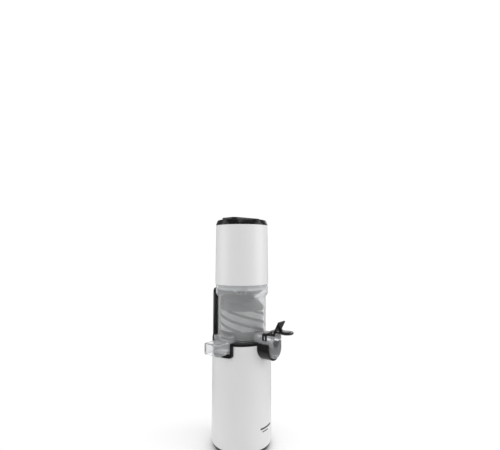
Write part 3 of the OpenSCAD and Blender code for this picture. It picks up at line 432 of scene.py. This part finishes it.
def turned_extent(node, angle):
    """Lowest and highest corner of a CAD node, measured in axes turned by angle about Z."""
    turn = Matrix.Rotation(-angle, 3, "Z")
    points = [turn @ v.co for v in frame["nodes"][node].data.vertices]
    low = Vector(min(p[i] for p in points) for i in range(3))
    high = Vector(max(p[i] for p in points) for i in range(3))
    return low, high


def add_prism(shape, outline, z0, z1):
    """Extrudes a plain outline from z0 to z1 in one closed solid."""
    lower = [shape.verts.new((x, y, z0)) for x, y in outline]
    upper = [shape.verts.new((x, y, z1)) for x, y in outline]
    shape.faces.new(list(reversed(lower)))
    shape.faces.new(upper)
    count = len(outline)
    for i in range(count):
        j = (i + 1) % count
        shape.faces.new((lower[i], lower[j], upper[j], upper[i]))


def rounded_outline(corners, radius, steps=5):
    """The outline through corners, each rounded by an arc-like curve of that radius."""
    points = []
    count = len(corners)
    for i, corner in enumerate(corners):
        here = Vector(corner)
        before = (Vector(corners[i - 1]) - here)
        after = (Vector(corners[(i + 1) % count]) - here)
        start = here + before.normalized() * min(radius, before.length * 0.45)
        end = here + after.normalized() * min(radius, after.length * 0.45)
        for k in range(steps + 1):
            t = k / steps
            points.append(tuple((1 - t) ** 2 * start + 2 * t * (1 - t) * here + t * t * end))
    return points


def add_grid(shape, rows):
    """Faces between neighbouring rows of points; every row has the same number of points."""
    made = [[shape.verts.new(p) for p in row] for row in rows]
    for a, b in zip(made, made[1:]):
        for i in range(len(a) - 1):
            shape.faces.new((a[i], a[i + 1], b[i + 1], b[i]))


def add_swept_band(shape, sections):
    """A closed solid through a list of closed sections, with flat ends."""
    made = [[shape.verts.new(p) for p in section] for section in sections]
    count = len(sections[0])
    for a, b in zip(made, made[1:]):
        for i in range(count):
            j = (i + 1) % count
            shape.faces.new((a[i], a[j], b[j], b[i]))
    shape.faces.new(list(reversed(made[0])))
    shape.faces.new(made[-1])


def polar(radius, angle, z):
    return Vector((radius * math.cos(angle), radius * math.sin(angle), z))


# ---- pieces ----


class JUICER_OT_stage(bpy.types.Operator):
    """Set the camera, the soft lights and the pale floor"""

    bl_idname = "juicer.stage"
    bl_label = "Studio"

    def execute(self, context):
        sizes = context.scene.juicer_sizes
        self.place_camera(context, sizes)
        self.place_lights(context, sizes)
        self.light_world(context)
        self.lay_floor()
        context.scene.view_settings.view_transform = "Standard"
        return {"FINISHED"}

    def place_camera(self, context, sizes):
        side_turn = math.radians(1.30)
        pitch = math.radians(4.1)
        azimuth = sizes.camera_azimuth
        camera = bpy.data.objects.new("camera", bpy.data.cameras.new("camera"))
        context.scene.collection.objects.link(camera)
        camera.data.sensor_width = 36.0
        camera.data.lens = sizes.camera_lens
        camera.data.clip_start = 0.01
        camera.location = (sizes.camera_distance * math.sin(azimuth), -sizes.camera_distance * math.cos(azimuth),
                           sizes.camera_height)
        inward = Vector((-math.sin(azimuth), math.cos(azimuth), 0))
        right = Vector((math.cos(azimuth), math.sin(azimuth), 0))
        level = inward * math.cos(side_turn) + right * math.sin(side_turn)
        forward = level * math.cos(pitch) + Vector((0, 0, math.sin(pitch)))
        camera.rotation_euler = forward.to_track_quat("-Z", "Y").to_euler()
        context.scene.camera = camera

    def place_lights(self, context, sizes):
        # name, azimuth from the camera in degrees, level distance, height, width, height of the panel, watts
        panels = (
            ("softbox_left", -82, 1.3, 0.5, 1.0, 1.5, 5.5),
            ("softbox_right", 80, 1.3, 0.5, 1.0, 1.5, 7.5),
            ("softbox_top", 20, 0.35, 1.9, 1.6, 1.6, 13.0),
            ("softbox_back", 165, 1.6, 0.9, 1.6, 0.8, 4.0),
        )
        aim = Vector((0, 0, 0.2))
        for name, turn, distance, height, width, tall, watts in panels:
            azimuth = sizes.camera_azimuth + math.radians(turn)
            light = bpy.data.lights.new(name, "AREA")
            light.shape = "RECTANGLE"
            light.size = width
            light.size_y = tall
            light.energy = watts
            lamp = bpy.data.objects.new(name, light)
            context.scene.collection.objects.link(lamp)
            lamp.location = (distance * math.sin(azimuth), -distance * math.cos(azimuth), height)
            lamp.rotation_euler = (aim - lamp.location).to_track_quat("-Z", "Y").to_euler()

    def light_world(self, context):
        """White behind everything; softer where the light only fills or is mirrored."""
        world = bpy.data.worlds.new("white_tent")
        context.scene.world = world
        world.use_nodes = True
        tree = world.node_tree
        path = tree.nodes.new("ShaderNodeLightPath").outputs
        fill, seen_extra, through_extra, mirrored_less = 0.5, 0.52, 0.45, 0.3
        strength = math_node(tree, "MULTIPLY_ADD", path["Is Camera Ray"], seen_extra)
        strength.node.inputs[2].default_value = fill
        through = math_node(tree, "MULTIPLY", path["Is Transmission Ray"], through_extra)
        mirrored = math_node(tree, "MULTIPLY", path["Is Glossy Ray"], path["Is Reflection Ray"])
        mirrored = math_node(tree, "MULTIPLY", mirrored, -mirrored_less)
        strength = math_node(tree, "ADD", math_node(tree, "ADD", strength, through), mirrored)
        tree.links.new(strength, tree.nodes["Background"].inputs["Strength"])
        input_of(tree.nodes["Background"], "Color", (1.0, 1.0, 1.0, 1.0))

    def lay_floor(self):
        """A round pale floor that dips a little at its far edge."""
        rings = 24
        around = 96
        reach = 9.0
        below_feet = 0.0004
        dip = 0.02
        shape = bmesh.new()
        rows = []
        for i in range(rings + 1):
            radius = 0.001 + reach * (i / rings) ** 2
            rows.append([polar(radius, 2 * math.pi * k / around, -below_feet - dip * (i / rings) ** 6)
                         for k in range(around + 1)])
        add_grid(shape, rows)
        bmesh.ops.remove_doubles(shape, verts=shape.verts, dist=1e-6)
        bmesh.ops.recalc_face_normals(shape, faces=shape.faces)
        mesh = bpy.data.meshes.new("floor")
        shape.to_mesh(mesh)
        shape.free()
        floor = bpy.data.objects.new("floor", mesh)
        bpy.context.scene.collection.objects.link(floor)
        material, tree, shader = new_material("pale_floor", (0.95, 0.95, 0.95))
        fleck = mix_colour(tree, noise(tree, 6.0, 2.0), (0.97, 0.97, 0.97, 1), (0.955, 0.955, 0.955, 1))
        far = self.far_from_axis(tree)
        tree.links.new(mix_colour(tree, far, fleck, (0.0, 0.0, 0.0, 1.0)), shader.inputs["Base Color"])
        glow = mix_colour(tree, far, (0.1, 0.1, 0.1, 1.0), (1.02, 1.02, 1.02, 1.0))
        tree.links.new(glow, shader.inputs["Emission Color"])
        path = tree.nodes.new("ShaderNodeLightPath").outputs
        mirrored = math_node(tree, "MULTIPLY", path["Is Glossy Ray"], path["Is Reflection Ray"])
        tree.links.new(math_node(tree, "SUBTRACT", 1.0, math_node(tree, "MULTIPLY", mirrored, 0.75)),
                       shader.inputs["Emission Strength"])
        input_of(shader, "Roughness", 0.7)
        input_of(shader, "Specular IOR Level", 0.0)
        mesh.materials.append(material)

    def far_from_axis(self, tree):
        """0 under the juicer, rising to 1 where the floor melts into the white."""
        place = tree.nodes.new("ShaderNodeTexCoord").outputs["Object"]
        length = tree.nodes.new("ShaderNodeVectorMath")
        length.operation = "LENGTH"
        tree.links.new(place, length.inputs[0])
        fade = tree.nodes.new("ShaderNodeMapRange")
        fade.interpolation_type = "SMOOTHSTEP"
        fade_start, fade_end = 0.07, 0.34
        input_of(fade, "From Min", fade_start)
        input_of(fade, "From Max", fade_end)
        tree.links.new(length.outputs["Value"], fade.inputs["Value"])
        return fade.outputs["Result"]


class JUICER_OT_finishes(bpy.types.Operator):
    """Make the finishes and give each CAD part its own"""

    bl_idname = "juicer.finishes"
    bl_label = "Finishes"

    def execute(self, context):
        make_moulded_surface()
        make_edge_wear_and_highlight()
        make_machined_surface()
        make_settled_dust()
        finishes = make_finishes()
        for name, part in frame["nodes"].items():
            finish = finishes[slot_of(name)]
            if not part.material_slots:
                part.data.materials.append(finish)
            for slot in part.material_slots:
                slot.material = finish
        return {"FINISHED"}


class JUICER_OT_screen(bpy.types.Operator):
    """Weave the steel screen of the auger's drum"""

    bl_idname = "juicer.screen"
    bl_label = "Steel screen"

    def execute(self, context):
        sizes = context.scene.juicer_sizes
        low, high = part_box("auger_mesh")
        wire_depth = 0.0005
        radius = high.x - wire_depth
        around = round(2 * math.pi * radius / sizes.screen_pitch)
        rise = high.z - low.z
        up = round(rise / sizes.screen_pitch)
        shape = bmesh.new()
        rows = []
        for i in range(up + 1):
            z = low.z + wire_depth + (rise - 2 * wire_depth) * i / up
            shift = 0.5 * (i % 2)
            rows.append([polar(radius, 2 * math.pi * (k + shift) / around, z) for k in range(around)])
        made = [[shape.verts.new(p) for p in row] for row in rows]
        for i in range(up):
            a, b = made[i], made[i + 1]
            step = i % 2
            for k in range(around):
                shape.faces.new((a[k], a[(k + 1) % around], b[(k + step) % around]))
                shape.faces.new((a[(k + 1) % around], b[(k + 1 + step) % around], b[(k + step) % around]))
        piece = finish_piece("auger_screen", shape, "auger", "steel_mesh", ("auger_mesh",), sharp=60.0)
        lattice = piece.modifiers.new("lattice", "WIREFRAME")
        lattice.thickness = sizes.screen_wire
        lattice.use_even_offset = True
        lattice.use_replace = True
        return {"FINISHED"}


class JUICER_OT_ribs(bpy.types.Operator):
    """Sweep the helical ribs and the two cutting blades of the auger"""

    bl_idname = "juicer.ribs"
    bl_label = "Auger ribs and blades"

    def execute(self, context):
        sizes = context.scene.juicer_sizes
        self.sweep_ribs(sizes)
        self.climb_blades()
        return {"FINISHED"}

    def sweep_ribs(self, sizes):
        screen_low, screen_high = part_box("auger_mesh")
        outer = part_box("auger_core")[1].x - 0.0001
        inner = screen_high.x + 0.0001
        steps = 72
        bottom = screen_low.z
        rise = screen_high.z - screen_low.z
        half = sizes.rib_rise / 2
        shape = bmesh.new()
        for rib in range(sizes.rib_count):
            start = 2 * math.pi * rib / sizes.rib_count
            sections = []
            for i in range(steps + 1):
                z = bottom + rise * i / steps
                angle = start - 2 * math.pi * (z - bottom) / sizes.rib_lead
                # a rounded band, seen in its own upright section: radius and height
                profile = [(inner, -half), (outer - 0.0007, -half), (outer, -half * 0.5), (outer, half * 0.5),
                           (outer - 0.0007, half), (inner, half)]
                sections.append([polar(r, angle, min(max(z + dz, bottom), bottom + rise)) for r, dz in profile])
            add_swept_band(shape, sections)
        finish_piece("auger_ribs", shape, "auger", "black_matte", ("auger_flights",), sharp=30.0)

    def climb_blades(self):
        """Two thick helical blades round the neck: the first ends low, the second in a tall sail."""
        core_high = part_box("auger_core")[1]
        drum_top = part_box("auger_mesh")[1].z
        top = core_high.z
        reach = core_high.x - 0.0006
        neck = 0.0105
        shape = bmesh.new()
        # end angle, height of the outer edge at the end, height of the sail there
        climb = math.radians(165)
        fold_start = 0.62
        for end, high, sail in ((math.radians(128), top - 0.013, 0.0), (math.radians(-52), top - 0.010, 0.009)):
            rows = []
            steps = 40
            across = 14
            for i in range(steps + 1):
                t = i / steps
                angle = end + climb * (1 - t)
                outer_z = drum_top + 0.002 + (high - drum_top - 0.002) * t ** 0.9
                fold = max(0.0, (t - fold_start) / (1 - fold_start))
                fold = fold * fold * (3 - 2 * fold)
                far = neck + (reach - neck) * (1 - 0.1 * fold)
                row = []
                for k in range(across + 1):
                    s = k / across
                    z = outer_z + 0.010 * (1 - s) ** 1.5 * (1 - 0.5 * t) + sail * fold * s ** 2.2
                    lean = math.radians(9) * s * fold
                    row.append(polar(neck + (far - neck) * s, angle - lean, min(z, top - 0.0004)))
                rows.append(row)
            add_grid(shape, rows)
        piece = finish_piece("auger_blades", shape, "auger", "black_matte", sharp=50.0)
        thick = piece.modifiers.new("thickness", "SOLIDIFY")
        thick.thickness = 0.0026
        thick.offset = 0.0
        soft = piece.modifiers.new("rounded_edges", "BEVEL")
        soft.width = 0.0007
        soft.segments = 2
        soft.limit_method = "ANGLE"
        soft.angle_limit = math.radians(50)


class JUICER_OT_pusher(bpy.types.Operator):
    """Mould the pusher: chamfered stem, shaped top plate and end cap"""

    bl_idname = "juicer.pusher"
    bl_label = "Pusher"

    def execute(self, context):
        chamfer = 0.005
        low, high = turned_extent("pusher_stem", CHUTE_ANGLE)
        plate_low, plate_high = turned_extent("pusher_plate", CHUTE_ANGLE)
        cap_low, cap_high = turned_extent("pusher_cap", CHUTE_ANGLE)
        plate_z = high.z
        stem = self.chamfered(low, high, chamfer)
        shape = bmesh.new()
        add_prism(shape, rounded_outline(stem, 0.0016, 3), low.z, plate_z + 0.001)
        half = plate_high.y
        plate = [(plate_high.x, -half + 0.006), (plate_high.x, half - 0.006), (plate_high.x - 0.005, half),
                 (plate_low.x + 0.007, half), (plate_low.x, half - 0.009), (plate_low.x, -half + 0.009),
                 (plate_low.x + 0.007, -half), (plate_high.x - 0.005, -half)]
        add_prism(shape, rounded_outline(plate, 0.006, 6), plate_z, plate_high.z)
        self.turn(shape)
        finish_piece("pusher_handle", shape, "pusher", "black_gloss", ("pusher_stem", "pusher_plate"), 0.0011, 3)
        tip = bmesh.new()
        outline = self.chamfered(cap_low, cap_high, chamfer * 0.95)
        add_prism(tip, rounded_outline(outline, 0.0016, 3), cap_low.z, low.z - 0.00005)
        self.turn(tip)
        finish_piece("pusher_tip", tip, "pusher", "black_matte", ("pusher_cap",), 0.0009, 3)
        return {"FINISHED"}

    def chamfered(self, low, high, cut):
        return [(low.x + cut, low.y), (high.x - cut, low.y), (high.x, low.y + cut), (high.x, high.y - cut),
                (high.x - cut, high.y), (low.x + cut, high.y), (low.x, high.y - cut), (low.x, low.y + cut)]

    def turn(self, shape):
        bmesh.ops.transform(shape, matrix=Matrix.Rotation(CHUTE_ANGLE, 4, "Z"), verts=shape.verts)


class JUICER_OT_mark(bpy.types.Operator):
    """Inlay a small plain mark, two bars, low on the casing"""

    bl_idname = "juicer.mark"
    bl_label = "Plain mark"

    def execute(self, context):
        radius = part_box("housing_shell")[1].x + 0.00005
        height = 0.044
        middle = math.radians(-89)
        shape = bmesh.new()
        line_gap = 0.0054
        self.inlay(shape, radius, height, middle, 0.016, 0.0015)
        self.inlay(shape, radius, height - line_gap, middle - 0.06, 0.008, 0.0008)
        finish_piece("plain_mark", shape, "base", "panel_grey", sharp=40.0)
        return {"FINISHED"}

    def inlay(self, shape, radius, height, middle, half_length, half_height):
        """A flat bar with round ends that follows the casing, a little proud of it."""
        steps = 32
        buried, raised = 0.0004, 0.0003
        sections = []
        for k in range(steps + 1):
            along = -half_length * math.cos(math.pi * k / steps)
            past = max(0.0, abs(along) - (half_length - half_height))
            half = max(half_height * 0.12, math.sqrt(max(0.0, half_height ** 2 - past ** 2)))
            angle = middle + along / radius
            sections.append([polar(radius + proud, angle, height + up) for proud, up in
                             ((-buried, -half), (raised, -half), (raised, half), (-buried, half))])
        add_swept_band(shape, sections)


class JUICER_PT_panel(bpy.types.Panel):
    bl_label = "Slow juicer"
    bl_idname = "JUICER_PT_panel"
    bl_space_type = "VIEW_3D"
    bl_region_type = "UI"
    bl_category = "Juicer"

    def draw(self, context):
        for group in (context.scene.juicer_sizes, context.scene.juicer_colours):
            for name in group.bl_rna.properties.keys():
                if name not in {"rna_type", "name"}:
                    self.layout.prop(group, name)
        for operator in OPERATORS:
            self.layout.operator(operator.bl_idname)


OPERATORS = (JUICER_OT_stage, JUICER_OT_finishes, JUICER_OT_screen, JUICER_OT_ribs, JUICER_OT_pusher,
             JUICER_OT_mark)
CLASSES = (JuicerSizes, JuicerColours, *OPERATORS, JUICER_PT_panel)


def register():
    for cls in CLASSES:
        bpy.utils.register_class(cls)
    bpy.types.Scene.juicer_sizes = bpy.props.PointerProperty(type=JuicerSizes)
    bpy.types.Scene.juicer_colours = bpy.props.PointerProperty(type=JuicerColours)


def unregister():
    del bpy.types.Scene.juicer_colours
    del bpy.types.Scene.juicer_sizes
    for cls in reversed(CLASSES):
        bpy.utils.unregister_class(cls)


def main():
    register()
    bpy.ops.juicer.stage()
    bpy.ops.juicer.finishes()
    bpy.ops.juicer.screen()
    bpy.ops.juicer.ribs()
    bpy.ops.juicer.pusher()
    bpy.ops.juicer.mark()


if __name__ == "__main__":
    main()
